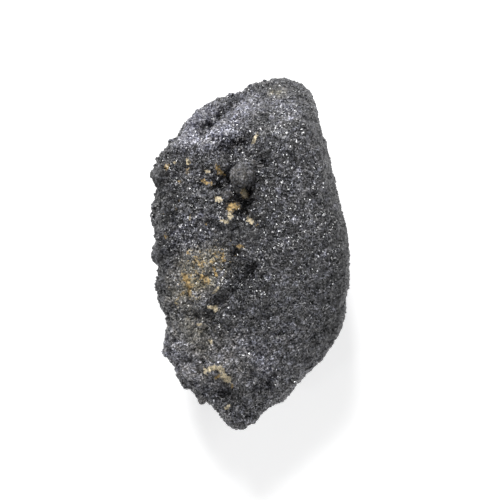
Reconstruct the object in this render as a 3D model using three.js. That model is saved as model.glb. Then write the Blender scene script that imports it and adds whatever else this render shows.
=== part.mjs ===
// A rough black diamond: one grown piece, longer than it is wide, lying on its back on a small flat spot.
// Millimetres. X runs across the stone, Y along it and Z up from the surface that it rests on.
import * as THREE from 'three';
import { ImprovedNoise } from 'three/addons/math/ImprovedNoise.js';
import { mergeVertices } from 'three/addons/utils/BufferGeometryUtils.js';

// Driving dimensions
const WIDTH = 5.2; // along X
const LENGTH = 9.0; // along Y
const THICKNESS = 4.0; // along Z
const CORE_HEIGHT = 2.0; // from the resting surface up to the middle of the stone
const DOME_UP = 2.4; // half height of the pillow that the upper faces are cut from
const DOME_DOWN = 2.45; // the same below the middle
const DOME_POWER = 2.9; // how square the stone's sides stand: 2 is an ellipse
const EDGE_POWER = 20; // how sharp the edges between faces are
const GIRDLE_SLOPE = new THREE.Vector2(0.1, -0.05); // the widest line rises to the right and sinks to the top
const MESH_DETAIL = 21; // each side of the starting icosahedron is cut into this many steps and one more
const RELAX_ROUNDS = 14; // rounds that even out the triangles over the stone

// The stone's outline from above, anticlockwise from its blunt upper end, without its small knobs
const OUTLINE = [
  [0.7, 4.5], [-0.06, 4.34], [-0.44, 4.08], [-0.98, 3.83], [-1.38, 3.52], [-1.7, 3.12],
  [-1.87, 2.76], [-2.2, 2.4], [-2.43, 1.3], [-2.43, 0.2], [-2.38, -0.8], [-2.28, -1.34],
  [-2.12, -1.72], [-2.18, -2.5], [-1.82, -3.22], [-1.32, -3.72], [-0.86, -4.06], [-0.52, -4.5],
  [-0.14, -4.54], [0.32, -4.1], [1.2, -3.5], [1.4, -3.16], [1.9, -2.72], [2.34, -2.05],
  [2.54, -1.0], [2.56, 0.15], [2.3, 1.4], [1.9, 2.98], [1.69, 3.8], [1.28, 4.31],
];

// Broad faces: the way each one faces, and how far it lies from the middle of the stone
const FACES = [
  { name: 'broad front face', towards: [0.2, -0.02, 0.97], distance: 2.0 },
  { name: 'left front face', towards: [-0.46, 0.14, 0.87], distance: 1.74 },
  { name: 'lower right bevel', towards: [0.38, -0.48, 0.79], distance: 2.22 },
  { name: 'lower left bevel', towards: [-0.4, -0.42, 0.81], distance: 2.2 },
  { name: 'upper bevel', towards: [0.04, 0.72, 0.69], distance: 3.72 },
  { name: 'upper left bevel', towards: [-0.33, 0.76, 0.56], distance: 3.04 },
  { name: 'lower tip, front', towards: [-0.05, -0.72, 0.69], distance: 3.5 },
  { name: 'back right face', towards: [0.62, 0.08, -0.78], distance: 2.08 },
  { name: 'back left face', towards: [-0.66, -0.08, -0.75], distance: 2.0 },
  { name: 'back upper face', towards: [0.1, 0.55, -0.83], distance: 2.75 },
  { name: 'back lower face', towards: [-0.06, -0.52, -0.85], distance: 2.75 },
  { name: 'resting face', towards: [0, 0, -1], distance: 2.12 },
];

// Relief on the upper side: where it is, its radius and its height, which is negative for a hollow.
// One with a second place runs from the first to it, as a ridge or a groove.
const FRONT_RELIEF = [
  { name: 'hump behind the upper ledge', at: [-1.38, 3.18], to: [-0.86, 3.54], radius: 0.48, height: 0.3 },
  { name: 'groove at the foot of the hump', at: [-1.35, 2.98], to: [-0.42, 3.84], radius: 0.29, height: -0.36 },
  { name: 'pit in the groove', at: [-1.12, 3.22], radius: 0.24, height: -0.16 },
  { name: 'crest of the upper ledge', at: [-1.6, 2.58], to: [-0.62, 2.92], radius: 0.36, height: 0.18 },
  { name: 'crest of the upper end', at: [-0.3, 3.42], to: [1.1, 3.5], radius: 0.4, height: 0.1 },
  { name: 'valley, upper reach', at: [-0.42, 2.7], to: [-0.36, 1.2], radius: 0.64, height: -0.2 },
  { name: 'valley, lower reach', at: [-0.32, 1.0], to: [-0.06, -0.5], radius: 0.52, height: -0.15 },
  { name: 'ridge beside the valley', at: [0.44, 2.8], to: [0.5, 0.9], radius: 0.42, height: 0.1 },
  { name: 'round bead', at: [-0.16, 2.06], radius: 0.36, height: 0.36 },
  { name: 'hollow above the bead', at: [-0.62, 2.66], to: [-0.3, 2.6], radius: 0.38, height: -0.2 },
  { name: 'hollow right of the bead', at: [0.28, 2.4], to: [0.26, 1.62], radius: 0.3, height: -0.15 },
  { name: 'hollow left of the bead', at: [-0.72, 1.82], radius: 0.42, height: -0.26 },
  { name: 'hollow below the bead', at: [-0.3, 1.3], to: [-0.05, 0.85], radius: 0.36, height: -0.22 },
  { name: 'ridge left of the hollows', at: [-0.88, 1.25], to: [-0.6, 0.75], radius: 0.3, height: 0.18 },
  { name: 'knob between the hollows', at: [-0.62, 2.26], radius: 0.26, height: 0.18 },
  { name: 'dip in the left face', at: [-1.3, 0.7], to: [-0.95, 0.45], radius: 0.4, height: -0.14 },
  { name: 'swelling of the ochre ground', at: [-1.3, -0.35], radius: 0.8, height: 0.15 },
  { name: 'hollow at the middle', at: [-0.1, -0.5], radius: 0.46, height: -0.12 },
  { name: 'swelling, lower left', at: [-1.5, -2.1], radius: 0.7, height: 0.14 },
  { name: 'swelling, low middle', at: [-0.75, -2.7], radius: 0.5, height: 0.14 },
  { name: 'hollow above the tip', at: [-0.8, -3.4], to: [-0.5, -3.62], radius: 0.42, height: -0.24 },
  { name: 'hollow right of the tip', at: [0.42, -3.3], radius: 0.45, height: -0.14 },
  { name: 'swelling, upper right', at: [1.1, 2.9], radius: 0.8, height: 0.08 },
  { name: 'swelling, middle right', at: [1.1, 0.2], radius: 1.0, height: 0.08 },
  { name: 'shallow dip, right', at: [1.5, -0.9], radius: 0.8, height: -0.08 },
];

// Knobs and notches that show on the outline
const EDGE_RELIEF = [
  { name: 'upper left knob', at: [-2.34, 1.98, 2.2], radius: 0.44, height: 0.24 },
  { name: 'left knob above the middle', at: [-2.42, 0.92, 2.0], radius: 0.36, height: 0.12 },
  { name: 'left knob at the middle', at: [-2.42, -0.02, 2.0], radius: 0.3, height: 0.17 },
  { name: 'left knob below the middle', at: [-2.34, -0.86, 2.1], radius: 0.34, height: 0.08 },
  { name: 'notch at the waist', at: [-2.16, -1.68, 2.1], radius: 0.26, height: -0.08 },
  { name: 'low left knob', at: [-2.18, -2.4, 2.0], radius: 0.5, height: 0.06 },
  { name: 'notch at the foot', at: [-1.42, -3.6, 1.9], radius: 0.2, height: -0.1 },
  { name: 'small foot knob', at: [-1.1, -3.92, 1.9], radius: 0.26, height: 0.12 },
  { name: 'notch beside the tip', at: [-0.66, -4.2, 1.9], radius: 0.2, height: -0.08 },
  { name: 'notch, lower right', at: [1.36, -3.2, 1.9], radius: 0.3, height: -0.1 },
];

// The crest under the ochre ground: the ground rises to it from the upper left and drops behind it
const SCARP = { from: [0.05, -0.2], to: [-1.3, -1.42], rise: 0.12, drop: 0.13, reach: 1.0 };
const SCARP_STEP = 0.18; // how far the drop takes
const SCARP_RECOVERY = 0.7; // and how far the ground needs to come back up
const SCARP_WANDER = 0.16; // how far its line strays from straight

// Weathering
const BROAD_NOISE = { wavelength: 1.5, height: 0.08 };
const FINE_NOISE = { wavelength: 0.55, height: 0.06 };
const KNOB_CELL = 0.48; // one knob to a cell of this size
const KNOB_HEIGHT = 0.15;
const SMOOTH_SIDE = 0.3; // the share of that relief on the smoother right-hand side

const middle = new THREE.Vector3(0, 0, CORE_HEIGHT);
const noise = new ImprovedNoise();

/** The outline as distance from the middle against angle. */
function makeOutlineRadius() {
  const corners = OUTLINE.map(([x, y]) => new THREE.Vector3(x, y, 0));
  const curve = new THREE.CatmullRomCurve3(corners, true, 'centripetal');
  const steps = 720;
  const samples = curve.getPoints(steps).slice(0, steps)
    .map((p) => ({ angle: Math.atan2(p.y, p.x), radius: Math.hypot(p.x, p.y) }))
    .sort((a, b) => a.angle - b.angle);
  return (angle) => {
    let low = 0;
    let high = steps;
    while (low < high) {
      const half = (low + high) >> 1;
      if (samples[half].angle < angle) low = half + 1;
      else high = half;
    }
    const after = samples[low % steps];
    const before = samples[(low + steps - 1) % steps];
    const turn = 2 * Math.PI;
    const span = (after.angle - before.angle + turn) % turn;
    const share = span > 0 ? ((angle - before.angle + turn) % turn) / span : 0;
    return THREE.MathUtils.lerp(before.radius, after.radius, Math.min(share, 1));
  };
}

const outlineRadius = makeOutlineRadius();
const facePlanes = FACES.map(({ towards, distance }) => ({
  normal: new THREE.Vector3(...towards).normalize(),
  distance,
}));

/** 1 on the faceted stone's skin, less inside and more outside, for a point measured from the middle. */
function depthRatio(p) {
  const across = Math.hypot(p.x, p.y) / outlineRadius(Math.atan2(p.y, p.x));
  const level = p.z - GIRDLE_SLOPE.x * p.x - GIRDLE_SLOPE.y * p.y;
  const upright = Math.abs(level) / (level > 0 ? DOME_UP : DOME_DOWN);
  const pillow = (across ** DOME_POWER + upright ** DOME_POWER) ** (1 / DOME_POWER);
  let sum = pillow ** EDGE_POWER;
  for (const { normal, distance } of facePlanes) {
    sum += Math.max(0, normal.dot(p) / distance) ** EDGE_POWER;
  }
  return sum ** (1 / EDGE_POWER);
}

/** Moves a point in or out along its line from the middle until it is on the skin. */
function toSkin(p) {
  p.sub(middle);
  p.divideScalar(depthRatio(p));
  return p.add(middle);
}

/** The point of the skin above a place on the upper side. */
function onFront([x, y]) {
  let low = 0;
  let high = DOME_UP;
  for (let round = 0; round < 30; round += 1) {
    const half = (low + high) / 2;
    if (depthRatio(new THREE.Vector3(x, y, half)) < 1) low = half;
    else high = half;
  }
  return new THREE.Vector3(x, y, middle.z + low);
}

/** An icosahedron cut fine, drawn on to the skin and evened out. */
function makeSkin() {
  const ball = new THREE.IcosahedronGeometry(1, MESH_DETAIL);
  ball.deleteAttribute('normal');
  ball.deleteAttribute('uv');
  const geometry = mergeVertices(ball, 1e-5);
  const { position } = geometry.attributes;
  const points = [];
  for (let i = 0; i < position.count; i += 1) {
    points.push(toSkin(new THREE.Vector3().fromBufferAttribute(position, i).add(middle)));
  }
  const neighbours = points.map(() => new Set());
  const { array } = geometry.index;
  for (let i = 0; i < array.length; i += 3) {
    for (let side = 0; side < 3; side += 1) {
      const a = array[i + side];
      const b = array[i + ((side + 1) % 3)];
      neighbours[a].add(b);
      neighbours[b].add(a);
    }
  }
  let relaxed = points;
  for (let round = 0; round < RELAX_ROUNDS; round += 1) {
    const last = relaxed;
    relaxed = last.map((point, i) => {
      const mean = new THREE.Vector3();
      neighbours[i].forEach((n) => mean.add(last[n]));
      return toSkin(mean.divideScalar(neighbours[i].size));
    });
  }
  setPoints(geometry, relaxed);
  return geometry;
}

function setPoints(geometry, points) {
  points.forEach((p, i) => geometry.attributes.position.setXYZ(i, p.x, p.y, p.z));
  geometry.computeVertexNormals();
}

/** A soft round rise: 1 at its middle, 0 from its radius outwards. */
function bump(distance, radius) {
  const share = Math.min(distance / radius, 1);
  return (1 - share * share) ** 2;
}

/** The distance from a point to the line between two ends, which may be one and the same. */
function distanceToLine(p, from, to) {
  const along = to.clone().sub(from);
  const reach = along.lengthSq();
  const share = reach > 0 ? THREE.MathUtils.clamp(p.clone().sub(from).dot(along) / reach, 0, 1) : 0;
  return p.distanceTo(from.clone().addScaledVector(along, share));
}

function noiseAt(p, wavelength) {
  return noise.noise(p.x / wavelength + 3.7, p.y / wavelength + 8.1, p.z / wavelength + 5.3);
}

/** How far the scarp lifts a point of the upper side. */
function scarpHeight(p) {
  const from = new THREE.Vector2(...SCARP.from);
  const along = new THREE.Vector2(...SCARP.to).sub(from);
  const length = along.length();
  along.divideScalar(length);
  const offset = new THREE.Vector2(p.x, p.y).sub(from);
  const travelled = offset.dot(along) / length;
  const above = along.y * offset.x - along.x * offset.y + SCARP_WANDER * noiseAt(p, 0.45);
  const fade = THREE.MathUtils.smoothstep(travelled, -0.2, 0.15)
    * (1 - THREE.MathUtils.smoothstep(travelled, 0.75, 1.2));
  const rising = SCARP.rise * THREE.MathUtils.clamp(1 - above / SCARP.reach, 0, 1) ** 2;
  const foot = -SCARP.drop * Math.max(0, 1 - Math.max(0, -above - SCARP_STEP) / SCARP_RECOVERY) ** 2;
  const upper = THREE.MathUtils.smoothstep(above, -SCARP_STEP, 0);
  return fade * THREE.MathUtils.lerp(foot, rising, upper);
}

/** A steady pseudo-random number from 0 to 1 for three whole numbers and a channel. */
function cellRandom(i, j, k, channel) {
  const s = Math.sin(i * 127.1 + j * 311.7 + k * 74.7 + channel * 53.3) * 43758.5453;
  return s - Math.floor(s);
}

/** Round knobs grown together: high on each knob, low where two meet. */
function knobHeight(p) {
  const cell = [p.x, p.y, p.z].map((v) => Math.floor(v / KNOB_CELL));
  let nearest = Infinity;
  for (let di = -1; di <= 1; di += 1) {
    for (let dj = -1; dj <= 1; dj += 1) {
      for (let dk = -1; dk <= 1; dk += 1) {
        const [i, j, k] = [cell[0] + di, cell[1] + dj, cell[2] + dk];
        const x = (i + cellRandom(i, j, k, 1)) * KNOB_CELL;
        const y = (j + cellRandom(i, j, k, 2)) * KNOB_CELL;
        const z = (k + cellRandom(i, j, k, 3)) * KNOB_CELL;
        nearest = Math.min(nearest, Math.hypot(p.x - x, p.y - y, p.z - z));
      }
    }
  }
  return 0.5 - nearest / KNOB_CELL;
}

/** How rough the stone is at a point: full on the left and the back, less on the broad front face. */
function roughness(p) {
  const right = THREE.MathUtils.smoothstep(p.x, -0.1, 0.9);
  const front = THREE.MathUtils.smoothstep(p.z, 0.8, 2.2);
  return THREE.MathUtils.lerp(1, SMOOTH_SIDE, right * front);
}

/** The height of the relief at a point of the skin, along its normal. */
function reliefHeight(p, frontShare, relief) {
  let height = BROAD_NOISE.height * noiseAt(p, BROAD_NOISE.wavelength);
  height += roughness(p) * (FINE_NOISE.height * noiseAt(p, FINE_NOISE.wavelength) + KNOB_HEIGHT * knobHeight(p));
  for (const { from, to, radius, height: rise } of relief) {
    height += rise * bump(distanceToLine(p, from, to), radius);
  }
  return height + frontShare * scarpHeight(p);
}

/** Moves and scales the points to the stone's stated size, centred over the origin and standing on z = 0. */
function fitToSize(points) {
  const box = new THREE.Box3().setFromPoints(points);
  const size = box.getSize(new THREE.Vector3());
  const scale = new THREE.Vector3(WIDTH, LENGTH, THICKNESS).divide(size);
  const foot = box.getCenter(new THREE.Vector3()).setZ(box.min.z);
  points.forEach((p) => p.sub(foot).multiply(scale));
}

/** The rough diamond: the faceted skin with its relief, ground flat where it rests. */
function makeRoughDiamond() {
  const geometry = makeSkin();
  const relief = [
    ...FRONT_RELIEF.map(({ at, to = at, ...rest }) => ({ ...rest, from: onFront(at), to: onFront(to) })),
    ...EDGE_RELIEF.map(({ at, ...rest }) => (
      { ...rest, from: new THREE.Vector3(...at), to: new THREE.Vector3(...at) }
    )),
  ];
  const { position, normal } = geometry.attributes;
  const points = [];
  for (let i = 0; i < position.count; i += 1) {
    const p = new THREE.Vector3().fromBufferAttribute(position, i);
    const n = new THREE.Vector3().fromBufferAttribute(normal, i);
    const frontShare = THREE.MathUtils.smoothstep(n.z, 0.1, 0.5);
    p.addScaledVector(n, reliefHeight(p, frontShare, relief));
    p.z = Math.max(p.z, 0);
    points.push(p);
  }
  fitToSize(points);
  setPoints(geometry, points);
  const material = new THREE.MeshStandardMaterial({ color: 0x4b4b4e, roughness: 0.45, metalness: 0 });
  const stone = new THREE.Mesh(geometry, material);
  stone.name = 'rough_diamond';
  return stone;
}

const part = new THREE.Group();
part.add(makeRoughDiamond());

export default part;
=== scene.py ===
"""A rough black diamond lying on its back, seen from above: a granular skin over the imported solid,
crystal grains grown all over it, and ochre and cream flecks between the grains.

Shapes are worked on in millimetres and brought to metres when they are finished. Places are given
across and along the stone.
"""
import math

import bpy
import numpy as np
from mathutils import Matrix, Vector


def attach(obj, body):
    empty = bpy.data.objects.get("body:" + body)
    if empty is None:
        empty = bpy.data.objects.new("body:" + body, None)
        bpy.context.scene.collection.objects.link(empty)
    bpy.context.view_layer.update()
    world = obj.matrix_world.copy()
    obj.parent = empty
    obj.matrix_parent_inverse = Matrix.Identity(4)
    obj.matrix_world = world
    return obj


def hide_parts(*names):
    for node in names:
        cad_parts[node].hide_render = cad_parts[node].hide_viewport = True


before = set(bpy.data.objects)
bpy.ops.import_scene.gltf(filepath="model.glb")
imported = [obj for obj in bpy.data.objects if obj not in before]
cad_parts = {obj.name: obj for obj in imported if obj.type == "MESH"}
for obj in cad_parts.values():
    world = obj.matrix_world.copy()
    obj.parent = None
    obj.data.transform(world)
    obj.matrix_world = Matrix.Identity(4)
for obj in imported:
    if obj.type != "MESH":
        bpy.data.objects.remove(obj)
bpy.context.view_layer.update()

MM = 0.001  # one millimetre in Blender's metres
STONE = "rough_diamond"

# The camera looks straight down on the middle of the stone
FRAME_WIDTH = 12.894  # what the picture is across at the stone's girdle
GIRDLE_HEIGHT = 2.0
FRAME_CENTRE = (0.013, 0.116)
LENS = 250
SENSOR = 36
CLIP_START = 0.001  # in metres

# The skin
SKIN_SINK = 0.03  # how far it lies inside the solid, so that the grains' tips reach the solid's surface
MERGE_GAP = 0.001
SMOOTHING_ROUNDS = (3, 2)  # how often the mesh is evened out after each subdivision
UPPER_SIDE = (0, 0.3)  # the rise of the normal where the upper side's relief sets in and is full
# Layers of lumps: the texture, its size, their height, and the vertex group that limits them
SKIN_TEXTURES = {
    "swells": ("CLOUDS", 0.3, 0.07, ""),
    "knobs": ("VORONOI", 0.32, -0.17, "rough"),
    "knobs between": ("VORONOI", 0.17, -0.09, "rough"),
    "grit": ("VORONOI", 0.1, -0.06, ""),
}

# The smooth parts: the right-hand front face with its outline, the upper ledge and the hump.
# A pair gives where the smoothness sets in and where it is full.
SMOOTH_SIDE = 0.35  # the share of the knobs' height that is left there
SMOOTH_GRAIN = 0.7  # the share of the grains' size that is left there
SMOOTH_ACROSS = (-0.1, 0.9)
SMOOTH_ALONG = (-2.2, 0.4)
SMOOTH_AT_TIP = 0.35  # the share of the front face's smoothness that is left at the tip
SMOOTH_FRONT = (0.8, 2.2)  # in height
SMOOTH_OUTLINE = (0.5, 1.8)  # in height
SMOOTH_STROKES = (0.3, 0.8)  # in a stroke's strength
STEEP = (0.2, 0.6)  # the rise of the normal up to which a side is steep, and from which it isn't

# The strokes that the smooth and the coloured parts are painted with
STROKE_REACH = 1.5  # in radii, where a stroke has faded out
STROKE_HEIGHTS = (1.1, 2.2)  # the heights where the strokes set in and are full
SHORTEST_STROKE = 1e-9  # the squared length that a stroke of one point is given
# Two waves that move heights up and down, so that what ends at a height draws no straight line: their
# size, their turns across and along in radians to the millimetre, and where they start
WAVES = ((0.25, 0.8, 1.9, 0), (0.15, 0, 4.3, 1))

# The grains
GRAIN_SINK = 0.2  # how far a grain's middle lies under the skin, as a share of its size
KINDS = 4  # crystals that a layer of grains picks from
CRYSTAL_RADIUS = 0.5
CRYSTAL_JITTER = 0.16  # how far its corners are moved at random
COARSE_CRYSTAL = (5, 4)  # segments and rings
FINE_CRYSTAL = (4, 2)
CROWDING = 1.6  # points that are tried in a square as wide as the spacing
FULL_TURN = 6.283
# Layers of grains: their spacing, their smallest and largest size, and their seed
COARSE_LAYER = (0.19, (0.08, 0.2), 1)
FINE_LAYERS = {
    "fine_grains": (0.072, (0.06, 0.12), 5),
    "finer_grains": (0.072, (0.05, 0.1), 9),
    "finest_grains": (0.072, (0.04, 0.08), 13),
}
ROUND_GRAIN_DETAIL = 5
ROUND_GRAIN_TEXTURES = {
    "dents": ("CLOUDS", 0.14, 0.14, ""),
    "small dents": ("VORONOI", 0.08, -0.03, ""),
}

# Finishes: the darkest and the palest grey, the size and the tilt of the facets, and the lowest roughness
FINISHES = {
    # The skin shows in the crevices between the grains, and its darker greys paint the shade there
    "diamond skin": ((0.003, 0.003, 0.0035, 1), (0.06, 0.06, 0.065, 1), 0.05, 0.7, 0.15),
    "diamond grains": ((0.003, 0.003, 0.0035, 1), (0.21, 0.21, 0.225, 1), 0.045, 0.75, 0.15),
    "round grains": ((0.01, 0.01, 0.01, 1), (0.25, 0.215, 0.19, 1), 0.06, 0.45, 0.4),
}
DIAMOND_IOR = 2.42
DIAMOND_SPECULAR = 0.2
ROUGHNESS_SPREAD = 0.2  # how much rougher the dullest facets are
CRUST_ROUGHNESS = 0.8
SKIN_TONE = 0.3
CLOUD_SHARE = 3.0  # how much the clouds count for a grey, next to the grain's tone and the facet's shade
GREYS = (3.0, 5.3)  # the sums that give the darkest and the palest grey
GREY_CURVE = 2.5

# Noises: their features to the millimetre, their detail and their roughness
NOISES = {
    "clouds": (3, 3.0, 0.6),
    "small clouds": (15, 2.0, 0.6),
    "threads": (12, 2.0, 0.5),
    "patches": (5, 3.0, 0.7),
    "ragged": (13, 4.0, 0.7),
    "spots": (18, 1.0, 0.5),
    "drift": (6, 3.0, 0.5),
}

# The threads, painted light on the crystals' edges: a thread lies where its noise is near the middle
THREAD_WIDTH = 0.095
PATCHES = (0.4, 0.6)  # the noise where the patches of threads set in and are full
BETWEEN_PATCHES = 0.25  # how strong the threads are outside the patches
BESIDE_THREADS = (1.0, 1.8)  # the strip beside a thread, in its widths,
SIDE_SHADES = (0.5, 1.1)  # and how light the stone is where the strip begins and ends
THREAD_STRENGTH = 0.65  # on plain stone
PALE_STRENGTH = 0.45  # what is added where the haze and dust, with their painted sheen and light, outweigh the painted shade
MATTE_STRENGTH = -0.7  # the share by which the threads change where the stone is matte
CRISP_STRENGTH = 0.5  # the same where it is crisp
CRISP_SHADES = 1.4  # how much deeper the shades beside the threads are there
PLAIN_THREAD = (0.47, 0.47, 0.51, 1)
THREAD_ON_DUST_AND_LIGHT = (0.72, 0.63, 0.38, 1)
THREAD_ON_HAZE_AND_SHEEN = (0.76, 0.76, 0.84, 1)

# Tints that the strokes lay on, and the strengths at which they set in and are full
TINTS = {
    # The dark tint is painted shade; the haze and the dust carry painted sheen and painted light as well
    "dark": ((0.004, 0.004, 0.004, 1), 0.0, 1.4),
    "haze_and_painted_sheen": ((0.1, 0.1, 0.135, 1), 0.2, 1.2),
    "dust_and_painted_light": ((0.21, 0.202, 0.168, 1), 0.3, 1.6),
    "ochre": ((0.47, 0.33, 0.14, 1), 0.48, 0.68),
    "cream": ((0.66, 0.57, 0.4, 1), 0.45, 0.54),
}
RAGGEDNESS = 2.2
FAINTEST = 0.02  # a stroke that is weaker than this doesn't show

# Spots and a drift of hue over everything. A pair of noise values gives where each sets in and is full.
SPOT_NOISE = (0.38, 0.62)
SPOTS = (0.2, 1.6)  # what the colours are multiplied by, from the darkest to the lightest spot
MATTE_SPOTS = 0.9  # the same where the stone is matte
CRUST_SPOTS = (0.55, 1.3)  # the same for ochre and cream
DRIFT_NOISE = (0.4, 0.62)
COOL = (0.97, 0.985, 1.055, 1)
WARM = (1.03, 1.0, 0.95, 1)

# The studio, with the lights' places, sizes and radiances
LIGHTS = {
    "key light": ((-30, 130, 110), 60, 27.0),
    "left light": ((-120, -70, 130), 18, 18.0),
    "lower light": ((90, -110, 130), 20, 60.0),
    "fill light": ((110, 20, 140), 110, 0.9),
}
SKY_COLOUR = (0.97, 0.98, 1, 1)
SKY_AT_HORIZON = 0.5
SKY_OVERHEAD = 0.08
OVERHEAD = 0.9  # the rise of a direction from which the sky is as bright as overhead
FLOOR_SIZE = 2  # in metres
FLOOR_GAP = 0.00001  # in metres, how far the floor lies below the stone's resting spot

# Places on the upper side, across and along, with a radius and a height
SKIN_RELIEF = {
    "bead": ((-0.17, 2.07), 0.33, 0.1),
    "hollow above the bead": ((-0.52, 2.66), 0.28, -0.18),
    "hollow at the bead's right": ((0.3, 2.3), 0.32, -0.18),
    "hollow at the bead's left": ((-0.72, 1.8), 0.3, -0.22),
    "hollow under the bead": ((-0.02, 1.62), 0.24, -0.12),
    "hollow by the large fleck": ((-0.2, 1.0), 0.26, -0.11),
    "knob left of the bead": ((-0.62, 2.24), 0.2, 0.1),
    "knob under the hollow": ((-0.48, 1.56), 0.18, 0.09),
    "pit in the upper groove": ((-1.0, 3.35), 0.13, -0.15),
    "pit at the groove's foot": ((-1.19, 3.32), 0.08, -0.08),
    "pit at the groove's end": ((-0.47, 3.87), 0.13, -0.14),
    "pit over the ledge": ((-0.78, 3.54), 0.11, -0.13),
    "hollow at the middle": ((-0.14, -0.42), 0.36, -0.11),
    "hollow beside it": ((-0.38, 0.02), 0.2, -0.12),
    "hollow under the crest": ((-0.86, -1.14), 0.26, -0.1),
    "hole in the lower fleck": ((-0.83, -3.02), 0.1, -0.16),
    "hole beside the fleck": ((-0.61, -3.08), 0.06, -0.12),
    "hollow above the tip": ((-0.66, -3.56), 0.3, -0.1),
    "hollow at the tip's right": ((0.4, -3.36), 0.28, -0.12),
    "tip": ((-0.33, -4.4), 0.45, 0.12),
}

# Places where the whole rim, its upper and under side, stands out a little
RIM_RELIEF = {
    "top end, left": ((0.1, 4.3), 0.5, 0.06),
    "top end": ((0.65, 4.4), 0.65, 0.1),
    "right, lower": ((2.3, -1.9), 0.9, 0.07),
    "right, lowest": ((1.5, -3.0), 0.9, 0.09),
    "right of the tip": ((0.75, -3.7), 0.6, 0.09),
    "beside the tip": ((0.12, -4.22), 0.45, 0.09),
}

# Larger round grains: their place, radius, how deep they sit and how pale they are
ROUND_GRAINS = {
    "bead": ((-0.175, 2.03), 0.31, 0.45, 0.4),
    "beside the bead": ((0.08, 2.3), 0.1, 0.5, 0.3),
    "fleck under the bead": ((-0.12, 1.54), 0.09, 0.1, 0.3),
    "under the bead": ((-0.3, 1.66), 0.12, 0.5, 0.2),
    "at the hollow": ((-0.58, 1.5), 0.12, 0.5, 0.3),
    "left of the bead": ((-0.62, 2.26), 0.11, 0.5, 0.2),
    "pinkish": ((-0.55, -2.73), 0.13, 0.7, 1.1),
    "pale, lower left": ((-1.24, -2.76), 0.08, 0.6, 0.7),
    "lower rim": ((-1.5, -3.0), 0.22, 0.85, 0.7),
    "lower rim, knob": ((-1.22, -3.72), 0.12, 0.4, 0.1),
    "beside the tip": ((-0.04, -4.26), 0.12, 0.6, 0.0),
    "left rim, upper": ((-2.34, 2.05), 0.21, 0.45, -0.6),
    "left rim, middle": ((-2.36, -0.04), 0.17, 0.45, -0.2),
    "left rim, lower": ((-2.2, -0.74), 0.16, 0.45, -0.2),
    "left rim, lowest": ((-2.1, -1.2), 0.13, 0.45, -0.2),
}

# Strokes of colour on the upper side: their points, their radius and how strong they are
OCHRE = {
    "left edge": ([(-2.13, 2.28), (-2.12, 2.22)], 0.1, 0.8),
    "left, lower": ([(-1.59, 2.16), (-1.57, 2.08)], 0.08, 0.75),
    "left, lowest": ([(-1.82, 1.88), (-1.8, 1.84)], 0.07, 0.6),
    "beside the bead": ([(-0.84, 2.26), (-0.76, 2.1), (-0.66, 2.04)], 0.08, 0.85),
    "under the ledge": ([(-1.19, 1.88), (-0.97, 1.78)], 0.08, 0.9),
    "largest": ([(-0.49, 1.13), (-0.44, 1.25), (-0.34, 1.22)], 0.12, 1.0),
    "orange speck, left": ([(-2.15, 0.5), (-2.14, 0.44)], 0.07, 0.7),
    "specks, left": ([(-1.88, 1.18)], 0.06, 0.7),
    "specks, far left": ([(-2.25, 1.09)], 0.05, 0.7),
    "speck over the ridge": ([(-1.79, 1.38)], 0.05, 0.6),
    "speck left of the middle": ([(-1.1, 0.78)], 0.06, 0.7),
    "speck at the middle": ([(-0.33, 0.22), (-0.2, 0.2)], 0.09, 0.68),
    "speck right of the middle": ([(0.2, 0.76)], 0.05, 0.7),
    "ground": ([(-1.55, -0.7), (-1.3, -0.3), (-0.8, -0.05)], 0.55, 0.42),
    "ground, top left": ([(-1.56, 0.04)], 0.07, 0.9),
    "ground, olive": ([(-1.36, -0.16), (-1.2, -0.24)], 0.16, 0.65),
    "ground, top": ([(-0.9, 0.02)], 0.07, 0.9),
    "ground, top right": ([(-0.68, -0.04), (-0.66, -0.14)], 0.08, 0.85),
    "ground, right": ([(-0.92, -0.34), (-0.84, -0.53)], 0.06, 0.85),
    "ground, orange": ([(-1.2, -0.6), (-1.08, -0.66)], 0.14, 0.85),
    "ground, strongest": ([(-1.66, -0.55), (-1.52, -0.8)], 0.11, 1.0),
    "ground, lower left": ([(-1.72, -0.99)], 0.08, 0.85),
    "ground, foot": ([(-1.52, -0.8), (-1.53, -1.02)], 0.08, 1.0),
    "chip's foot": ([(-0.84, -1.44)], 0.05, 0.9),
    "lower fleck's heart": ([(-0.86, -3.16), (-0.76, -3.09)], 0.06, 1.1),
    "lower fleck's end": ([(-0.49, -3.27), (-0.44, -3.39)], 0.06, 0.85),
}
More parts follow.
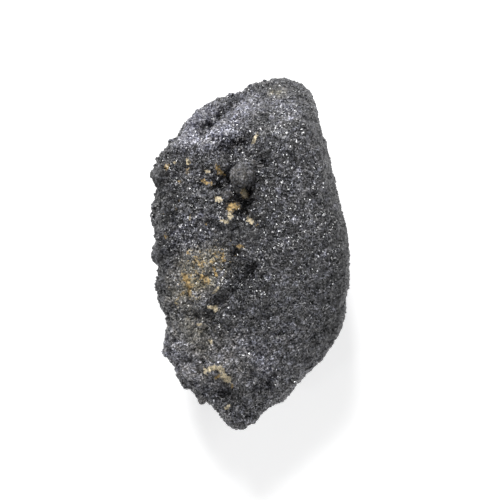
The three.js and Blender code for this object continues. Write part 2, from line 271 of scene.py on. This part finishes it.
CREAM = {
    "left": ([(-1.59, 2.4), (-1.57, 2.34)], 0.08, 0.8),
    "far left": ([(-1.92, 2.37)], 0.06, 0.7),
    "left edge": ([(-2.12, 2.27)], 0.05, 0.8),
    "left of the bead": ([(-1.1, 2.13), (-1.05, 2.1)], 0.06, 0.75),
    "under the bead": ([(-0.14, 1.6), (-0.1, 1.5)], 0.09, 1.2),
    "beside the ridge": ([(-0.82, 1.42), (-0.75, 1.39)], 0.08, 0.95),
    "foot of the largest": ([(-0.5, 1.04), (-0.48, 0.95)], 0.08, 0.95),
    "right of the largest": ([(-0.03, 0.92), (0.03, 0.84)], 0.08, 0.95),
    "below the largest": ([(-0.72, 0.88), (-0.58, 0.82)], 0.06, 0.75),
    "ridge's end": ([(-1.52, 0.94)], 0.07, 0.6),
    "streak above the bead": ([(0.19, 3.05), (0.1, 2.84)], 0.06, 0.85),
    "ground, top": ([(-1.52, 0.14)], 0.1, 0.5),
    "ground's edge": ([(-0.8, -0.84), (-0.88, -0.95)], 0.05, 0.8),
    "ground, white end": ([(-1.86, -1.1), (-1.88, -1.28)], 0.12, 0.6),
    "ground, foot": ([(-1.5, -1.06), (-1.36, -1.1)], 0.14, 0.5),
    "chip under the crest": ([(-0.92, -1.35), (-0.84, -1.36), (-0.86, -1.43)], 0.06, 1.1),
    "chip's point": ([(-1.05, -1.33), (-0.92, -1.34)], 0.04, 1.2),
    "lower fleck's arc": ([(-1.04, -2.95), (-0.9, -2.88), (-0.8, -2.9), (-0.7, -2.96)], 0.07, 1.3),
    "lower fleck's tip": ([(-0.72, -2.85)], 0.05, 0.7),
    "lower fleck's left": ([(-1.17, -2.88), (-1.13, -3.04)], 0.05, 1.0),
    "lower fleck's heart": ([(-0.68, -3.1), (-0.56, -3.2)], 0.09, 1.3),
    "lower fleck's right": ([(-0.56, -3.2), (-0.48, -3.3)], 0.05, 0.9),
    "yellowish speck": ([(-1.02, -2.18), (-0.97, -2.23)], 0.07, 0.7),
    "speck above the tip": ([(-0.54, -3.9), (-0.62, -3.98)], 0.07, 0.8),
    # A painted glint: a bright white facet, laid on as a cream speck
    "painted glint": ([(-1.31, -1.79), (-1.25, -1.78)], 0.04, 1.4),
}
# Haze and painted sheen: a pale bluish tint that paints the sheen on the upper ledge, the upper end and the
# sparkles, where they catch the light, and is a pale haze on the stone elsewhere
HAZE_AND_PAINTED_SHEEN = {
    "upper ledge": ([(-1.75, 2.95), (-0.95, 2.9), (-0.45, 3.4), (-0.1, 3.85)], 0.36, 1.15),
    "upper end": ([(-0.1, 3.85), (0.5, 3.9), (1.15, 3.68)], 0.28, 0.6),
    "lower middle": ([(-0.35, -2.35), (0.2, -2.5), (0.4, -2.9)], 0.42, 1.0),
    "right of the lower middle": ([(0.8, -1.8), (1.1, -2.1)], 0.35, 0.4),
    "hump": ([(-1.6, 3.3), (-1.1, 3.75)], 0.4, 1.4),
    "ridge": ([(-2.0, 0.5), (-1.45, 0.86), (-1.3, 1.02), (-0.75, 0.92)], 0.05, 1.2),
    "middle left": ([(-1.7, 0.3), (-1.25, 0.4)], 0.5, 0.4),
    "crest's left": ([(-2.0, -0.45), (-1.78, -0.95), (-1.85, -1.28)], 0.2, 0.8),
    "crest's foot": ([(-1.75, -1.2), (-1.4, -1.05), (-1.05, -0.95)], 0.2, 0.9),
    "ground's edge": ([(-0.6, -0.2), (-0.66, -0.48), (-0.77, -0.64), (-0.8, -0.82), (-0.87, -0.92)],
                      0.04, 1.3),
    "lower left": ([(-1.9, -2.5), (-1.2, -2.9), (-0.6, -2.7)], 0.65, 1.15),
    "lower rim": ([(-1.62, -2.95), (-1.42, -3.3)], 0.2, 0.6),
}
# Dust and painted light: a warm pale tint for dust, which on the crest and the ochre ground also paints the
# light that falls on them
DUST_AND_PAINTED_LIGHT = {
    "bead": ([(-0.2, 2.0)], 0.22, 0.6),
    "upper end": ([(0.6, 4.16), (0.76, 4.14)], 0.18, 1.2),
    "ochre ground": ([(-1.65, -1.1), (-1.5, -0.3), (-0.95, -0.1)], 0.5, 1.15),
    "crest": ([(-1.75, -1.1), (-1.55, -0.75), (-1.1, -0.75)], 0.32, 1.7),
    "crest's left": ([(-1.95, -0.5), (-1.85, -1.25)], 0.25, 1.1),
    "ground's edge": ([(-0.58, -0.25), (-0.63, -0.5), (-0.75, -0.66), (-0.78, -0.82), (-0.87, -0.9)],
                      0.05, 1.4),
    "lower left": ([(-1.5, -2.1), (-1.3, -2.6), (-0.6, -2.7)], 0.75, 1.15),
    "round the lower fleck": ([(-1.3, -3.0), (-0.5, -3.1)], 0.4, 1.0),
}
# Painted shade: these strokes darken the hollows, the valley, the groove and the ground under the crest and
# the bead, the rims that turn away from the lights, and the top end, where a shadow falls
PAINTED_SHADE = {
    "valley": ([(0.25, 2.35), (0.0, 1.5), (-0.25, 0.7)], 0.55, 0.75),
    "below the bead": ([(-0.6, 1.2), (0.0, 1.15), (0.6, 1.2)], 0.45, 0.85),
    "top end": ([(0.0, 4.4), (1.1, 4.3)], 0.3, 0.7),
    "beside the ledge": ([(0.4, 3.95), (0.25, 3.3), (-0.15, 3.4)], 0.28, 1.0),
    "hollow left of the bead": ([(-0.76, 1.66)], 0.22, 1.2),
    "hollow beside the largest fleck": ([(-0.15, 0.98)], 0.2, 1.2),
    "above the middle": ([(-0.6, 0.5), (0.6, 0.5), (1.3, 0.5)], 0.35, 0.75),
    "valley's left": ([(-0.95, 2.0), (-0.6, 1.7)], 0.35, 0.7),
    "valley's foot": ([(-0.3, 0.9), (0.4, 0.85)], 0.4, 1.0),
    "middle": ([(-0.6, 0.0), (-0.25, -0.8), (0.2, -0.9)], 0.45, 0.95),
    "under the crest": ([(-1.9, -1.75), (-1.2, -1.6), (-0.5, -1.3)], 0.3, 0.35),
    "groove": ([(-1.17, 3.31), (-0.97, 3.37), (-0.75, 3.56), (-0.47, 3.9)], 0.08, 1.1),
    "left edge": ([(-2.25, 2.4), (-2.35, 0.8), (-2.2, -0.8)], 0.65, 1.0),
    "left rim, upper": ([(-2.35, 2.05)], 0.2, 1.3),
    "right shoulder": ([(0.9, 4.4), (1.45, 3.95), (1.75, 3.3), (2.1, 2.2)], 0.4, 1.0),
    "right edge": ([(2.2, 1.8), (2.4, -0.4), (2.15, -2.2)], 0.5, 1.4),
    "above the tip": ([(-0.7, -3.5), (-0.5, -3.65)], 0.25, 0.9),
    "tip": ([(-0.4, -3.8), (0.2, -3.3)], 0.45, 0.25),
    "right, lower": ([(1.2, 0.2), (1.7, -0.6), (1.8, -1.6)], 0.9, 0.75),
}
# Where the stone is dull and even
MATTE = {
    "bead": ([(-0.2, 2.02)], 0.25, 0.3),
    "valley's foot": ([(-0.5, 0.55), (0.1, 0.45)], 0.25, 0.6),
    "hump": ([(-1.55, 3.4), (-1.0, 3.8)], 0.33, 0.45),
    "right shoulder": ([(1.75, 3.3), (2.15, 2.2), (2.4, 1.0)], 0.3, 0.25),
    "right edge": ([(2.4, 1.0), (2.5, -0.4), (2.2, -2.0), (1.3, -2.9)], 0.25, 0.25),
    "left edge": ([(-2.4, 2.2), (-2.45, 0.8), (-2.3, -0.8)], 0.3, 0.2),
}
# Where the threads of painted light, and the painted shade beside them, stand out more
CRISP = {
    "right, lower": ([(1.3, -0.9), (1.5, -1.6), (0.9, -2.4)], 0.75, 1.1),
}
# Where the relief is lower, besides the front face
SMOOTH = {
    "upper ledge": ([(-1.75, 2.95), (-0.95, 2.9), (-0.45, 3.4), (-0.1, 3.85), (0.6, 3.85)], 0.4, 1.0),
    "hump": ([(-1.5, 3.3), (-0.95, 3.75)], 0.3, 0.5),
}

# Painted highlights: small patches where the crystals catch more light, laid on with the haze and painted
# sheen
SPARKLE_RADIUS = 0.09
SPARKLE_STRENGTH = 1.1
SPARKLES = (
    (1.28, 2.15), (0.84, 1.38), (0.73, 1.62), (1.21, 1.33), (1.17, 0.89), (1.39, 0.67), (0.93, 0.36),
    (1.12, 0.07), (1.87, 0.01), (0.42, 0.38), (2.2, 1.22), (0.02, -1.42), (0.68, -1.04), (0.48, -0.58),
    (0.9, -0.56), (1.66, -0.58), (1.12, -1.33), (1.12, -1.78), (2.15, -1.4), (0.55, -2.05), (1.06, -2.31),
    (0.22, -2.62), (0.12, -2.25), (0.77, -2.18), (-1.3, -1.78), (-1.42, -3.21), (-0.35, -3.3),
    (0.0, 3.98), (0.22, 3.84), (0.36, 3.68), (0.6, 3.5), (0.78, 3.3), (0.62, 4.04), (0.92, 3.72),
    (0.2, 4.1), (0.78, 3.9), (1.05, 3.45),
)
for number, place in enumerate(SPARKLES):
    HAZE_AND_PAINTED_SHEEN[f"sparkle {number}"] = ([place], SPARKLE_RADIUS, SPARKLE_STRENGTH)

COLOURS = {"ochre": OCHRE, "cream": CREAM, "haze_and_painted_sheen": HAZE_AND_PAINTED_SHEEN, "dust_and_painted_light": DUST_AND_PAINTED_LIGHT, "dark": PAINTED_SHADE, "matte": MATTE,
           "crisp": CRISP}


# Small helpers


def select_only(piece):
    bpy.ops.object.select_all(action="DESELECT")
    piece.select_set(True)
    bpy.context.view_layer.objects.active = piece


def apply_all(piece):
    select_only(piece)
    for modifier in list(piece.modifiers):
        bpy.ops.object.modifier_apply(modifier=modifier.name)


def get_points(mesh):
    points = np.empty(len(mesh.vertices) * 3)
    mesh.vertices.foreach_get("co", points)
    return points.reshape(-1, 3)


def get_normals(mesh):
    normals = np.empty(len(mesh.vertices) * 3)
    mesh.vertices.foreach_get("normal", normals)
    return normals.reshape(-1, 3)


def set_points(mesh, points):
    mesh.vertices.foreach_set("co", points.ravel())
    mesh.update()


def keep_above_floor(mesh):
    points = get_points(mesh)
    points[:, 2] = np.maximum(points[:, 2], 0)
    set_points(mesh, points)


def smoothstep(low, high, value):
    share = np.clip((value - low) / (high - low), 0, 1)
    return share * share * (3 - 2 * share)


def store(mesh, name, values):
    attribute = mesh.attributes.new(name, "FLOAT", "POINT")
    attribute.data.foreach_set("value", values.astype(np.float32))


def store_tone(mesh, tone):
    """How pale a whole mesh is. The scattered grains have tones between 0 and 1."""
    store(mesh, "tone", np.full(len(mesh.vertices), tone))


def add(tree, kind, inputs=None, **settings):
    """Adds a node, sets its properties, and sets or links its inputs."""
    made = tree.nodes.new(kind)
    for key, value in settings.items():
        setattr(made, key, value)
    for socket, value in (inputs or {}).items():
        if isinstance(value, bpy.types.NodeSocket):
            tree.links.new(value, made.inputs[socket])
        else:
            made.inputs[socket].default_value = value
    return made


def calculate(tree, operation, *values):
    """The result of a Math node, from numbers or other nodes' outputs."""
    return add(tree, "ShaderNodeMath", dict(enumerate(values)), operation=operation).outputs[0]


def remap(tree, value, low, high, new_low=0.0, new_high=1.0):
    """Brings a value's range from low to high to the new one, and keeps it inside that."""
    ranges = {"Value": value, "From Min": low, "From Max": high, "To Min": new_low, "To Max": new_high}
    return add(tree, "ShaderNodeMapRange", ranges).outputs[0]


def scale_by(tree, vector, share):
    """A vector or a colour times a number."""
    return add(tree, "ShaderNodeVectorMath", {0: vector, "Scale": share}, operation="SCALE").outputs[0]


# Strokes


def distance_to_stroke(points, stroke):
    """How far each point is from a stroke of the upper side, seen from above."""
    nearest = np.full(len(points), np.inf)
    places = [np.array(place) for place in stroke]
    if len(places) == 1:
        places.append(places[0])
    for start, end in zip(places, places[1:]):
        along = end - start
        reach = max(along @ along, SHORTEST_STROKE)
        share = np.clip((points[:, :2] - start) @ along / reach, 0, 1)
        gap = points[:, :2] - start - share[:, None] * along
        nearest = np.minimum(nearest, np.hypot(gap[:, 0], gap[:, 1]))
    return nearest


def wavy_height(points):
    """The points' heights, moved up and down a little."""
    moved = 0
    for size, across, along, start in WAVES:
        moved = moved + size * np.sin(across * points[:, 0] + along * points[:, 1] + start)
    return points[:, 2] + moved


def stroke_weight(points, strokes):
    """How strongly the strokes cover each point of the upper side."""
    weight = np.zeros(len(points))
    for stroke, radius, strength in strokes.values():
        share = np.clip(1 - distance_to_stroke(points, stroke) / (STROKE_REACH * radius), 0, 1)
        weight = np.maximum(weight, strength * share)
    return weight * smoothstep(*STROKE_HEIGHTS, wavy_height(points))


def paint_colours(piece):
    points = get_points(piece.data)
    for name, strokes in COLOURS.items():
        store(piece.data, name, stroke_weight(points, strokes))


def roughness_of(points, normals):
    """1 on the left and the back, less on the right-hand front face, its outline and the upper ledge."""
    right = smoothstep(*SMOOTH_ACROSS, points[:, 0])
    along = SMOOTH_AT_TIP + (1 - SMOOTH_AT_TIP) * smoothstep(*SMOOTH_ALONG, points[:, 1])
    front = smoothstep(*SMOOTH_FRONT, points[:, 2]) * along
    steep = 1 - smoothstep(*STEEP, np.abs(normals[:, 2]))
    outline = steep * smoothstep(*SMOOTH_OUTLINE, wavy_height(points))
    ledge = smoothstep(*SMOOTH_STROKES, stroke_weight(points, SMOOTH))
    return 1 - (1 - SMOOTH_SIDE) * np.maximum(right * np.maximum(front, outline), ledge)


# The skin


def displace_all(piece, textures):
    """Displace modifiers, each with a texture of its own, sized in millimetres."""
    for name, (kind, size, height, group) in textures.items():
        texture = bpy.data.textures.new(name, kind)
        texture.noise_scale = size
        modifier = piece.modifiers.new(name, "DISPLACE")
        modifier.texture = texture
        modifier.texture_coords = "LOCAL"
        modifier.strength = height
        modifier.mid_level = 0.5
        modifier.vertex_group = group


def swell(points, normals, place, radius, height):
    """Pushes the skin out round a place, or in where the height is negative."""
    reach = np.hypot(points[:, 0] - place[0], points[:, 1] - place[1]) / radius
    share = np.clip(1 - reach**2, 0, None) ** 2
    return points + normals * (height * share)[:, None]


def refine(skin):
    """Merges the solid's loose triangles, and makes the mesh finer and rounder."""
    select_only(skin)
    bpy.ops.mesh.customdata_custom_splitnormals_clear()
    bpy.ops.object.mode_set(mode="EDIT")
    bpy.ops.mesh.select_all(action="SELECT")
    bpy.ops.mesh.remove_doubles(threshold=MERGE_GAP)
    for rounds in SMOOTHING_ROUNDS:
        bpy.ops.mesh.subdivide(number_cuts=1)
        bpy.ops.mesh.vertices_smooth(factor=0.5, repeat=rounds)
    bpy.ops.object.mode_set(mode="OBJECT")


def make_skin():
    skin = bpy.data.objects.new("stone_skin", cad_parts[STONE].data.copy())
    bpy.context.collection.objects.link(skin)
    set_points(skin.data, get_points(skin.data) / MM)
    refine(skin)
    normals = get_normals(skin.data)
    points = get_points(skin.data) - SKIN_SINK * normals
    upper = smoothstep(*UPPER_SIDE, normals[:, 2])
    for place, radius, height in SKIN_RELIEF.values():
        points = swell(points, normals, place, radius, height * upper)
    for place, radius, height in RIM_RELIEF.values():
        points = swell(points, normals, place, radius, height)
    set_points(skin.data, points)
    rough = skin.vertex_groups.new(name="rough")
    for index, weight in enumerate(roughness_of(points, normals)):
        rough.add([index], weight, "REPLACE")
    displace_all(skin, SKIN_TEXTURES)
    apply_all(skin)
    keep_above_floor(skin.data)
    return skin


# The grains


def make_crystal(name, segments, rings, seed):
    """An irregular little crystal, about one millimetre across."""
    bpy.ops.object.select_all(action="DESELECT")
    bpy.ops.mesh.primitive_uv_sphere_add(segments=segments, ring_count=rings, radius=CRYSTAL_RADIUS)
    crystal = bpy.context.object
    crystal.name = name
    bpy.ops.object.mode_set(mode="EDIT")
    bpy.ops.mesh.select_all(action="SELECT")
    bpy.ops.transform.vertex_random(offset=CRYSTAL_JITTER, seed=seed)
    bpy.ops.mesh.quads_convert_to_tris()
    bpy.ops.object.mode_set(mode="OBJECT")
    return crystal


def make_kinds(name, segments, rings):
    """A collection of crystals that a layer of grains picks from."""
    kinds = bpy.data.collections.new(name)
    for seed in range(KINDS):
        crystal = make_crystal(f"{name}_{seed}", segments, rings, seed)
        bpy.context.collection.objects.unlink(crystal)
        kinds.objects.link(crystal)
    return kinds


def scatter_nodes(name, host, kinds, spacing, sizes, seed, thin_out):
    """A node tree that grows crystals over the host, a little sunk into it and larger where it is rough.
    thin_out leaves them out where it is smooth."""
    tree = bpy.data.node_groups.new(name, "GeometryNodeTree")
    tree.interface.new_socket("Geometry", in_out="OUTPUT", socket_type="NodeSocketGeometry")
    surface = add(tree, "GeometryNodeObjectInfo", {"Object": host})
    rough = add(tree, "GeometryNodeInputNamedAttribute", {"Name": "rough"}, data_type="FLOAT")
    rough = rough.outputs["Attribute"]
    spread = add(tree, "GeometryNodeDistributePointsOnFaces",
                 {"Mesh": surface.outputs["Geometry"], "Distance Min": spacing,
                  "Density Max": CROWDING / spacing**2, "Seed": seed}, distribute_method="POISSON")
    if thin_out:
        tree.links.new(remap(tree, rough, SMOOTH_SIDE, 1.0), spread.inputs["Density Factor"])
    tone = add(tree, "FunctionNodeRandomValue", {"Seed": seed + 1}, data_type="FLOAT")
    toned = add(tree, "GeometryNodeStoreNamedAttribute",
                {"Geometry": spread.outputs["Points"], "Name": "tone", "Value": tone.outputs[1]},
                data_type="FLOAT", domain="POINT")
    size = add(tree, "FunctionNodeRandomValue", {2: sizes[0], 3: sizes[1], "Seed": seed + 2},
               data_type="FLOAT")
    size = calculate(tree, "MULTIPLY", size.outputs[1], remap(tree, rough, SMOOTH_SIDE, 1.0, SMOOTH_GRAIN))
    turn = add(tree, "FunctionNodeRandomValue", {1: (FULL_TURN,) * 3, "Seed": seed + 3},
               data_type="FLOAT_VECTOR")
    depth = calculate(tree, "MULTIPLY", size, -GRAIN_SINK)
    sunk = add(tree, "GeometryNodeSetPosition",
               {"Geometry": toned.outputs["Geometry"],
                "Offset": scale_by(tree, spread.outputs["Normal"], depth)})
    pick = add(tree, "GeometryNodeCollectionInfo",
               {"Collection": kinds, "Separate Children": True, "Reset Children": True})
    grown = add(tree, "GeometryNodeInstanceOnPoints",
                {"Points": sunk.outputs["Geometry"], "Instance": pick.outputs["Instances"],
                 "Pick Instance": True, "Rotation": turn.outputs[0], "Scale": size})
    solid = add(tree, "GeometryNodeRealizeInstances", {"Geometry": grown.outputs["Instances"]})
    add(tree, "NodeGroupOutput", {"Geometry": solid.outputs["Geometry"]})
    return tree


def make_grains(name, host, kinds, spacing, sizes, seed, thin_out=False):
    grains = bpy.data.objects.new(name, bpy.data.meshes.new(name))
    bpy.context.collection.objects.link(grains)
    modifier = grains.modifiers.new("grow", "NODES")
    modifier.node_group = scatter_nodes(name, host, kinds, spacing, sizes, seed, thin_out)
    apply_all(grains)
    keep_above_floor(grains.data)
    return grains


def make_round_grains(skin):
    """The larger round grains, sunk into the skin, as one piece."""
    ground = get_points(skin.data)
    bpy.ops.object.select_all(action="DESELECT")
    grains = []
    for place, radius, depth, tone in ROUND_GRAINS.values():
        near = np.hypot(ground[:, 0] - place[0], ground[:, 1] - place[1]) < radius
        middle = (*place, ground[near, 2].max() - depth * radius)
        bpy.ops.mesh.primitive_ico_sphere_add(subdivisions=ROUND_GRAIN_DETAIL, radius=radius, location=middle)
        bpy.ops.object.transform_apply()
        grain = bpy.context.object
        store_tone(grain.data, tone)
        grains.append(grain)
    for grain in grains:
        grain.select_set(True)
    bpy.ops.object.join()
    joined = bpy.context.object
    joined.name = "round_grains"
    displace_all(joined, ROUND_GRAIN_TEXTURES)
    apply_all(joined)
    return joined


# Materials

FLOAT = "NodeSocketFloat"
COLOUR = "NodeSocketColor"
VECTOR = "NodeSocketVector"


def new_group(name, inputs, outputs):
    """A shader node group with named sockets, each with its kind and, for an input, its value."""
    group = bpy.data.node_groups.new(name, "ShaderNodeTree")
    for socket, (kind, value) in inputs.items():
        made = group.interface.new_socket(socket, in_out="INPUT", socket_type=kind)
        made.default_value = value
    for socket, kind in outputs.items():
        group.interface.new_socket(socket, in_out="OUTPUT", socket_type=kind)
    return group


def mix_colours(tree, share, first, second, blend="MIX"):
    mix = add(tree, "ShaderNodeMix", {"Factor": share, 6: first, 7: second}, data_type="RGBA",
              blend_type=blend)
    return mix.outputs[2]


def mix_values(tree, share, first, second):
    return add(tree, "ShaderNodeMix", {0: share, 2: first, 3: second}).outputs[0]


def noise(tree, name):
    scale, detail, roughness = NOISES[name]
    place = add(tree, "ShaderNodeTexCoord").outputs["Object"]
    made = add(tree, "ShaderNodeTexNoise",
               {"Vector": place, "Scale": scale / MM, "Detail": detail, "Roughness": roughness})
    return made.outputs["Fac"]


def stored(tree, name):
    """What is stored on the mesh under a name."""
    return add(tree, "ShaderNodeAttribute", attribute_name=name).outputs["Fac"]


def facet_group():
    """Tiny flat facets: a normal tilted at random from cell to cell."""
    group = new_group("crystal facets", {"Cell": (FLOAT, 0.05), "Tilt": (FLOAT, 0.5)},
                      {"Normal": VECTOR, "Shade": FLOAT})
    given = add(group, "NodeGroupInput").outputs
    place = add(group, "ShaderNodeTexCoord").outputs["Object"]
    scale = calculate(group, "DIVIDE", 1 / MM, given["Cell"])
    cells = add(group, "ShaderNodeTexVoronoi", {"Vector": place, "Scale": scale}).outputs["Color"]
    centred = add(group, "ShaderNodeVectorMath", {0: cells, 1: (0.5, 0.5, 0.5)}, operation="SUBTRACT")
    tilted = scale_by(group, centred.outputs[0], given["Tilt"])
    surface = add(group, "ShaderNodeNewGeometry").outputs["Normal"]
    total = add(group, "ShaderNodeVectorMath", {0: tilted, 1: surface})
    normal = add(group, "ShaderNodeVectorMath", {0: total.outputs[0]}, operation="NORMALIZE")
    shade = add(group, "ShaderNodeSeparateColor", {0: cells})
    add(group, "NodeGroupOutput", {"Normal": normal.outputs[0], "Shade": shade.outputs[0]})
    return group


def thread_group():
    """Thin winding threads of painted light in patches, as the edges of fine crystals make, and the painted
    shade of the stone beside them."""
    group = new_group("threads", {}, {"Threads": FLOAT, "Side": FLOAT})
    away = calculate(group, "ABSOLUTE", calculate(group, "SUBTRACT", noise(group, "threads"), 0.5))
    thread = remap(group, away, 0.0, THREAD_WIDTH, 1.0, 0.0)
    there = remap(group, noise(group, "patches"), *PATCHES, BETWEEN_PATCHES)
    shown = calculate(group, "MULTIPLY", thread, there)
    widths = calculate(group, "DIVIDE", away, THREAD_WIDTH)
    side = remap(group, widths, *BESIDE_THREADS, *SIDE_SHADES)
    add(group, "NodeGroupOutput", {"Threads": shown, "Side": side})
    return group


def lay_over(group, colour, name, ragged, light=None):
    """Lays a tint over a colour where its painted mask, broken up by noise, is strong."""
    tint, low, high = TINTS[name]
    if light is not None:
        tint = scale_by(group, tint[:3], light)
    painted = stored(group, name)
    broken = calculate(group, "MULTIPLY_ADD", calculate(group, "ADD", ragged, -0.5), RAGGEDNESS, painted)
    there = calculate(group, "GREATER_THAN", painted, FAINTEST)
    shown = calculate(group, "MULTIPLY", remap(group, broken, low, high), there)
    return mix_colours(group, shown, colour, tint), shown


def fleck_group():
    """Painted shade, haze with painted sheen, and dust with painted light over a colour, then the threads of
    painted light, spots and drift, then ochre and cream crusts.
    """
    group = new_group("flecks", {"Colour": (COLOUR, (0.05, 0.05, 0.05, 1)), "Threads": (FLOAT, 0.0),
                                 "Side": (FLOAT, 1.0)}, {"Colour": COLOUR, "Crust": FLOAT})
    given = add(group, "NodeGroupInput").outputs
    matte = stored(group, "matte")
    crisp = stored(group, "crisp")
    ragged = noise(group, "ragged")
    colour, dark = lay_over(group, given["Colour"], "dark", ragged)
    colour, haze_and_painted_sheen = lay_over(group, colour, "haze_and_painted_sheen", ragged)
    colour, dust_and_painted_light = lay_over(group, colour, "dust_and_painted_light", ragged)

    # How pale the haze and the dust, with their painted sheen and light, make the stone, less the painted
    # shade
    pale = calculate(group, "SUBTRACT", calculate(group, "MAXIMUM", haze_and_painted_sheen, dust_and_painted_light), dark)
    share = calculate(group, "MULTIPLY_ADD", pale, PALE_STRENGTH, THREAD_STRENGTH)
    share = calculate(group, "MULTIPLY", share, given["Threads"])
    for mask, strength in ((matte, MATTE_STRENGTH), (crisp, CRISP_STRENGTH)):
        share = calculate(group, "MULTIPLY", share, calculate(group, "MULTIPLY_ADD", mask, strength, 1.0))
    side = calculate(group, "POWER", given["Side"],
                     calculate(group, "MULTIPLY_ADD", crisp, CRISP_SHADES, 1.0))
    thread = mix_colours(group, dust_and_painted_light, PLAIN_THREAD, THREAD_ON_DUST_AND_LIGHT)
    thread = mix_colours(group, haze_and_painted_sheen, thread, THREAD_ON_HAZE_AND_SHEEN)
    colour = mix_colours(group, share, scale_by(group, colour, side), thread)

    spots = remap(group, noise(group, "spots"), *SPOT_NOISE, *SPOTS)
    colour = scale_by(group, colour, mix_values(group, matte, spots, MATTE_SPOTS))
    drift = remap(group, noise(group, "drift"), *DRIFT_NOISE)
    colour = mix_colours(group, 1.0, colour, mix_colours(group, drift, COOL, WARM), blend="MULTIPLY")

    light = remap(group, spots, *SPOTS, *CRUST_SPOTS)
    colour, ochre = lay_over(group, colour, "ochre", ragged, light)
    colour, cream = lay_over(group, colour, "cream", ragged, light)
    crust = calculate(group, "MAXIMUM", calculate(group, "MAXIMUM", ochre, cream), matte)
    add(group, "NodeGroupOutput", {"Colour": colour, "Crust": crust})
    return group


def diamond_material(name, groups, dark, pale, cell, tilt, gloss):
    facets, threads, flecks = groups
    material = bpy.data.materials.new(name)
    material.use_nodes = True
    tree = material.node_tree
    shader = tree.nodes["Principled BSDF"]
    shader.inputs["IOR"].default_value = DIAMOND_IOR
    shader.inputs["Specular IOR Level"].default_value = DIAMOND_SPECULAR
    cut = add(tree, "ShaderNodeGroup", {"Cell": cell, "Tilt": tilt}, node_tree=facets).outputs
    clouds = calculate(tree, "ADD", noise(tree, "clouds"), noise(tree, "small clouds"))
    mixed = calculate(tree, "ADD", stored(tree, "tone"), cut["Shade"])
    mixed = calculate(tree, "MULTIPLY_ADD", clouds, CLOUD_SHARE, mixed)
    paleness = calculate(tree, "POWER", remap(tree, mixed, *GREYS), GREY_CURVE)
    lit = add(tree, "ShaderNodeGroup", node_tree=threads).outputs
    coloured = add(tree, "ShaderNodeGroup",
                   {"Colour": mix_colours(tree, paleness, dark, pale), "Threads": lit["Threads"],
                    "Side": lit["Side"]}, node_tree=flecks).outputs
    dull = remap(tree, cut["Shade"], 0.0, 1.0, gloss, gloss + ROUGHNESS_SPREAD)
    rough = mix_values(tree, coloured["Crust"], dull, CRUST_ROUGHNESS)
    tree.links.new(coloured["Colour"], shader.inputs["Base Color"])
    tree.links.new(rough, shader.inputs["Roughness"])
    tree.links.new(cut["Normal"], shader.inputs["Normal"])
    return material


def floor_material():
    material = bpy.data.materials.new("pale floor")
    material.use_nodes = True
    shader = material.node_tree.nodes["Principled BSDF"]
    shader.inputs["Base Color"].default_value = (0.9, 0.9, 0.9, 1)
    shader.inputs["Roughness"].default_value = 0.6
    shader.inputs["Specular IOR Level"].default_value = 0.2
    shader.inputs["Emission Color"].default_value = (1, 1, 1, 1)
    shader.inputs["Emission Strength"].default_value = 0.5
    return material


# The studio


def make_floor():
    bpy.ops.object.select_all(action="DESELECT")
    bpy.ops.mesh.primitive_plane_add(size=FLOOR_SIZE, location=(0, 0, -FLOOR_GAP))
    floor = bpy.context.object
    floor.name = "floor"
    floor.data.materials.append(floor_material())


def make_camera():
    data = bpy.data.cameras.new("camera")
    camera = bpy.data.objects.new("camera", data)
    bpy.context.collection.objects.link(camera)
    data.lens = LENS
    data.sensor_width = SENSOR
    data.clip_start = CLIP_START
    distance = FRAME_WIDTH / SENSOR * LENS
    camera.location = (FRAME_CENTRE[0] * MM, FRAME_CENTRE[1] * MM, (GIRDLE_HEIGHT + distance) * MM)
    bpy.context.scene.camera = camera


def make_light(name, place, size, radiance):
    """A square soft light that faces the stone, with its place and size in millimetres."""
    data = bpy.data.lights.new(name, "AREA")
    light = bpy.data.objects.new(name, data)
    bpy.context.collection.objects.link(light)
    data.size = size * MM
    data.energy = radiance * math.pi * (size * MM) ** 2
    light.location = Vector(place) * MM
    towards = Vector((0, 0, GIRDLE_HEIGHT * MM)) - light.location
    light.rotation_euler = towards.to_track_quat("-Z", "Y").to_euler()
    light.visible_camera = False


def make_world():
    world = bpy.data.worlds.new("studio")
    bpy.context.scene.world = world
    world.use_nodes = True
    tree = world.node_tree
    way = add(tree, "ShaderNodeTexCoord").outputs["Generated"]
    rise = add(tree, "ShaderNodeSeparateXYZ", {0: way}).outputs["Z"]
    strength = remap(tree, rise, 0.0, OVERHEAD, SKY_AT_HORIZON, SKY_OVERHEAD)
    tree.links.new(strength, tree.nodes["Background"].inputs["Strength"])
    tree.nodes["Background"].inputs["Color"].default_value = SKY_COLOUR


def finish_piece(piece, material):
    set_points(piece.data, get_points(piece.data) * MM)
    piece.data.materials.clear()
    piece.data.materials.append(material)
    select_only(piece)
    bpy.ops.object.shade_flat()
    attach(piece, "root")
    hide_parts(STONE)


bpy.context.scene.view_settings.view_transform = "Standard"
skin = make_skin()
coarse_kinds = make_kinds("coarse_crystal", *COARSE_CRYSTAL)
fine_kinds = make_kinds("fine_crystal", *FINE_CRYSTAL)
groups = (facet_group(), thread_group(), fleck_group())
finishes = {name: diamond_material(name, groups, *finish) for name, finish in FINISHES.items()}
pieces = {
    skin: "diamond skin",
    make_grains("coarse_grains", skin, coarse_kinds, *COARSE_LAYER, thin_out=True): "diamond grains",
}
for name, layer in FINE_LAYERS.items():
    pieces[make_grains(name, skin, fine_kinds, *layer)] = "diamond grains"
pieces[make_round_grains(skin)] = "round grains"
store_tone(skin.data, SKIN_TONE)
for piece, finish in pieces.items():
    paint_colours(piece)
    finish_piece(piece, finishes[finish])
make_floor()
for name, (place, size, radiance) in LIGHTS.items():
    make_light(name, place, size, radiance)
make_world()
make_camera()
